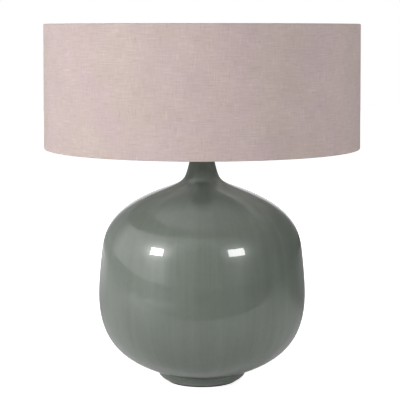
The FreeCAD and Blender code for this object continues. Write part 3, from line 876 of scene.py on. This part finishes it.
def make_turning():
    """The angle round the lamp's axis, with its join at the back, the radius and the height."""
    turning = Effect("round_the_axis", {"Place": "Vector"},
                     {"Angle": "Float", "Radius": "Float", "Height": "Float"})
    x, y, z = turning.split(turning.place)
    turning.put(turning.math("ARCTAN2", x, turning.times(y, -1.0)), turning.results["Angle"])
    radius = turning.math("SQRT", turning.add(turning.times(x, x), turning.times(y, y)))
    turning.put(radius, turning.results["Radius"])
    turning.put(z, turning.results["Height"])
    return turning


graded_inputs = {"Place": "Vector", "Dark": "Color", "Light": "Color", "Low Roughness": "Float",
                 "High Roughness": "Float"}
graded_outputs = {"Color": "Color", "Roughness": "Float", "Height": "Float"}


def grade(effect, tone, tone_range, relief):
    """Ends an effect: its colour goes from dark to light with the tone, and its roughness with the relief."""
    colour = effect.mix(effect.spread(tone, *tone_range), effect.given["Dark"], effect.given["Light"])
    effect.put(colour, effect.results["Color"])
    roughness = effect.spread(relief, 0.3, 0.7, effect.given["Low Roughness"], effect.given["High Roughness"])
    effect.put(roughness, effect.results["Roughness"])
    effect.put(relief, effect.results["Height"])
    return effect


def make_grain():
    """Fine grain under gentle clouds of tone."""
    grain = Effect("fine_grain", {**graded_inputs, "Grain Scale": "Float"}, graded_outputs)
    return grade(grain, grain.noise(35, 3), (0.3, 0.7), grain.noise(grain.given["Grain Scale"], 2))


def make_marks():
    """Fine marks that run one way, as on plated or bare metal."""
    marks = Effect("one_way_marks", {**graded_inputs, "Mark Stretch": "Vector"}, graded_outputs)
    lines = marks.noise(900, 3, marks.given["Mark Stretch"], 0.6)
    tone = marks.add(marks.times(lines, 0.5), marks.times(marks.noise(50, 2), 0.5))
    return grade(marks, tone, (0.35, 0.65), lines)


def make_rubbing():
    """Faint patches that are rubbed towards another colour."""
    rubbing = Effect("rubbed_patches", {"Place": "Vector", "Color": "Color", "Rubbed Color": "Color"},
                     {"Color": "Color"})
    share = rubbing.spread(rubbing.noise(90, 4, rough=0.7), 0.58, 0.72, 0.0, 0.5)
    colour = rubbing.mix(share, rubbing.given["Color"], rubbing.given["Rubbed Color"])
    rubbing.put(colour, rubbing.results["Color"])
    return rubbing


turning = make_turning()
grain = make_grain()
marks = make_marks()
rubbing = make_rubbing()


def make_glaze():
    """Grey-green glaze with faint runs down the side, and painted shade: darker and browner at the lip and at
    the foot's lower edge.
    """
    glaze = Finish("grey_green_glaze")
    glaze.set(Roughness=0.33, IOR=1.5, Coat_Weight=1.0, Coat_Roughness=0.02, Coat_IOR=1.5)
    angle, _, height = glaze.use(turning)
    side = glaze.flat(glaze.times(angle, 0.15), height)
    runs = glaze.noise(60, 2, (1, 0.06, 1), 0.5, side)
    thin_runs = glaze.noise(260, 2, (1, 0.03, 1), 0.6, side)
    clouds = glaze.noise(9, 2)
    mottle = glaze.noise(140, 3, rough=0.6)
    tone = glaze.add(glaze.times(runs, 0.34), glaze.times(thin_runs, 0.16), glaze.times(clouds, 0.34),
                     glaze.times(mottle, 0.16))
    colour = glaze.ramp(tone, [
        (0.34, (0.113, 0.136, 0.112)),
        (0.50, (0.137, 0.161, 0.135)),
        (0.66, (0.161, 0.186, 0.158)),
    ])
    wobble = glaze.times(glaze.noise(45, 2), 0.004)
    # painted shade: within a few millimetres of the lip and of the foot's lower edge, the glaze is mixed
    # towards a dark brown
    near_lip = glaze.spread(glaze.add(height, wobble), (jar_top - 4) * mm, (jar_top + 1) * mm, smooth=True)
    near_foot = glaze.spread(glaze.add(height, wobble), (foot_bottom + 5.5) * mm, (foot_bottom + 1) * mm,
                             smooth=True)
    painted_edge_shade = glaze.times(glaze.greatest(near_lip, near_foot), 0.6)
    colour = glaze.mix(painted_edge_shade, colour, (0.085, 0.072, 0.055))
    glaze.feed(colour, "Base Color")
    waves = glaze.noise(30, 1)
    peel = glaze.noise(420, 1)
    ripples = glaze.noise(150, 1)
    surface = glaze.add(glaze.times(waves, 0.55), glaze.times(runs, 0.14), glaze.times(ripples, 0.04),
                        glaze.times(peel, 0.004))
    glaze.bump(surface, 0.0014, 0.5)
    return glaze


def make_linen():
    """Plain weave, unrolled round the drum, with slubs both ways and soft patches of colour."""
    linen = Finish("pink_taupe_linen")
    linen.set(Roughness=0.92, Sheen_Weight=0.15, Sheen_Roughness=0.6, Specular_IOR_Level=0.15)
    angle, radius, height = linen.use(turning)
    across = linen.times(angle, shade_bottom_radius * mm)
    along = linen.math("SUBTRACT", height, radius)
    cloth = linen.flat(across, along)
    yarn_pitch = 0.00082
    warp = linen.math("SINE", linen.times(across, 2 * math.pi / yarn_pitch))
    weft = linen.math("SINE", linen.times(along, 2 * math.pi / yarn_pitch))
    weave = linen.times(warp, weft)
    warp_yarn = linen.noise(620, 1, (1, 0.10, 1), 0.5, cloth)
    weft_yarn = linen.noise(620, 1, (0.08, 1, 1), 0.5, cloth)
    warp_slub = linen.spread(linen.noise(420, 1, (1, 0.13, 1), 0.5, cloth), 0.62, 0.78, smooth=True)
    weft_slub = linen.spread(linen.noise(420, 1, (0.13, 1, 1), 0.5, cloth), 0.62, 0.78, smooth=True)
    dark_yarn = linen.spread(linen.noise(380, 1, (0.16, 1, 1.7), 0.5, cloth), 0.36, 0.24, smooth=True)
    dark_warp = linen.spread(linen.noise(380, 1, (1, 0.16, 1.7), 0.5, cloth), 0.36, 0.24, smooth=True)
    patches = linen.noise(26, 2, source=cloth)
    hue = linen.noise(14, 2, source=cloth)
    tone = linen.add(linen.times(warp_yarn, 0.22), linen.times(weft_yarn, 0.32), linen.times(patches, 0.22),
                     linen.times(weave, 0.014), linen.times(warp_slub, 0.14), linen.times(weft_slub, 0.15),
                     linen.times(dark_yarn, -0.15), linen.times(dark_warp, -0.12))
    rose = linen.ramp(tone, [
        (0.22, (0.478, 0.378, 0.374)),
        (0.42, (0.560, 0.450, 0.444)),
        (0.64, (0.648, 0.535, 0.528)),
    ])
    sand = linen.ramp(tone, [
        (0.22, (0.476, 0.381, 0.352)),
        (0.42, (0.558, 0.456, 0.424)),
        (0.64, (0.645, 0.542, 0.506)),
    ])
    linen.feed(linen.mix(linen.spread(hue, 0.38, 0.62), rose, sand), "Base Color")
    relief = linen.add(weave, linen.times(warp_yarn, 1.2), linen.times(weft_yarn, 1.2),
                       linen.times(warp_slub, 1.5), linen.times(weft_slub, 1.5))
    linen.bump(relief, 0.00012, 0.6)
    return linen


def make_plain(name, colour, roughness, grain_scale=400.0, depth=0.0001, variation=0.12, rubbed=None):
    """A finish with fine grain, gentle clouds of tone and, if asked, faint rubbed patches."""
    finish = Finish(name)
    made = finish.use(grain, Grain_Scale=grain_scale,
                      Dark=tuple(c * (1 - variation) for c in colour),
                      Light=tuple(min(1, c * (1 + variation)) for c in colour),
                      Low_Roughness=roughness * 0.85, High_Roughness=min(1, roughness * 1.15))
    tone = made["Color"]
    if rubbed:
        tone = finish.use(rubbing, Color=tone, Rubbed_Color=rubbed)["Color"]
    finish.feed(tone, "Base Color")
    finish.feed(made["Roughness"], "Roughness")
    finish.bump(made["Height"], depth, 0.5)
    return finish


def make_brushed(name, colour, roughness, stretch):
    """Plated or bare metal with marks that run one way."""
    finish = Finish(name)
    finish.set(Metallic=1.0)
    made = finish.use(marks, Mark_Stretch=stretch, Dark=tuple(c * 0.72 for c in colour), Light=colour,
                      Low_Roughness=roughness * 0.7, High_Roughness=roughness * 1.3)
    finish.feed(made["Color"], "Base Color")
    finish.feed(made["Roughness"], "Roughness")
    finish.bump(made["Height"], 0.00003, 0.4)
    return finish


# ---------------------------------------------------------------- the scene
bpy.context.scene.view_settings.view_transform = "Standard"
make_camera()
make_world()
make_floor()
for softbox in softboxes:
    make_softbox(*softbox)

jar = make_jar()
felt = make_felt()
bush = make_grommet()
neck_plate = make_neck_cap()
spacer = make_spacer()
holder_cap = make_holder_cap()
holder_skirt = make_holder_skirt()
lower_ring = make_shade_ring("lower_ring", "stand", "lower_shade_ring", lower_ring_bottom, lower_ring_height)
upper_ring = make_shade_ring("upper_ring", "shade_clamp", "upper_shade_ring", fitter_top, upper_ring_height)
bulb = make_bulb_glass()
linen_cover = make_linen_cover()
linen_lap = make_linen_seam()
arms = make_arms()
fitter = make_fitter()

make_glaze().paint(jar)
make_linen().paint(linen_cover, linen_lap)

rubber = make_plain("black_rubber", (0.035, 0.035, 0.034), 0.65, grain_scale=900, variation=0.2)
rubber.paint(bush)
rubber.paint_nodes("base_gasket", "neck_gasket")
dark_felt = make_plain("dark_felt", (0.030, 0.036, 0.031), 0.97, grain_scale=1500, depth=0.0006,
                       variation=0.35)
dark_felt.paint(felt)
zinc = make_brushed("zinc_plate", (0.60, 0.61, 0.60), 0.36, (1, 1, 0.1))
zinc.paint_nodes("base_plate", "threaded_rod")
brass = make_brushed("satin_brass", (0.62, 0.43, 0.19), 0.34, (0.1, 0.1, 1))
brass.paint(neck_plate, spacer)
brass.paint_nodes("base_nut", "neck_nut", "terminal_screws",
                  "screw_shell", "centre_contact", "switch_contact")
plastic = make_plain("black_moulding", (0.022, 0.022, 0.023), 0.34, grain_scale=1200, depth=0.00004,
                     variation=0.15, rubbed=(0.05, 0.05, 0.05))
plastic.paint(holder_cap, holder_skirt, lower_ring, upper_ring)
plastic.paint_nodes("switch_bar", "switch_collar")
make_plain("porcelain", (0.78, 0.76, 0.70), 0.5, variation=0.05).paint_nodes("terminal_block")
nickel = make_brushed("nickel_plate", (0.70, 0.68, 0.64), 0.22, (0.1, 0.1, 1))
nickel.paint_nodes("bulb_cap", "bulb_tip", "bulb_leads", "bulb_filament")
make_plain("black_insulator", (0.02, 0.02, 0.025), 0.12, variation=0.1).paint_nodes("bulb_insulator")
opal = make_plain("opal_glass", (0.84, 0.84, 0.81), 0.16, depth=0.00002, variation=0.03)
opal.paint(bulb)
opal.paint_nodes("bulb_stem")
liner = make_plain("white_liner", (0.74, 0.73, 0.70), 0.6, grain_scale=1400, depth=0.00008, variation=0.03)
liner.paint_nodes("shade_liner")
wire = make_plain("white_powder_coat", (0.78, 0.78, 0.77), 0.38, grain_scale=1600, depth=0.00005,
                  variation=0.03, rubbed=(0.66, 0.65, 0.62))
wire.paint(arms, fitter)
wire.paint_nodes("shade_bottom_ring", "shade_top_ring")
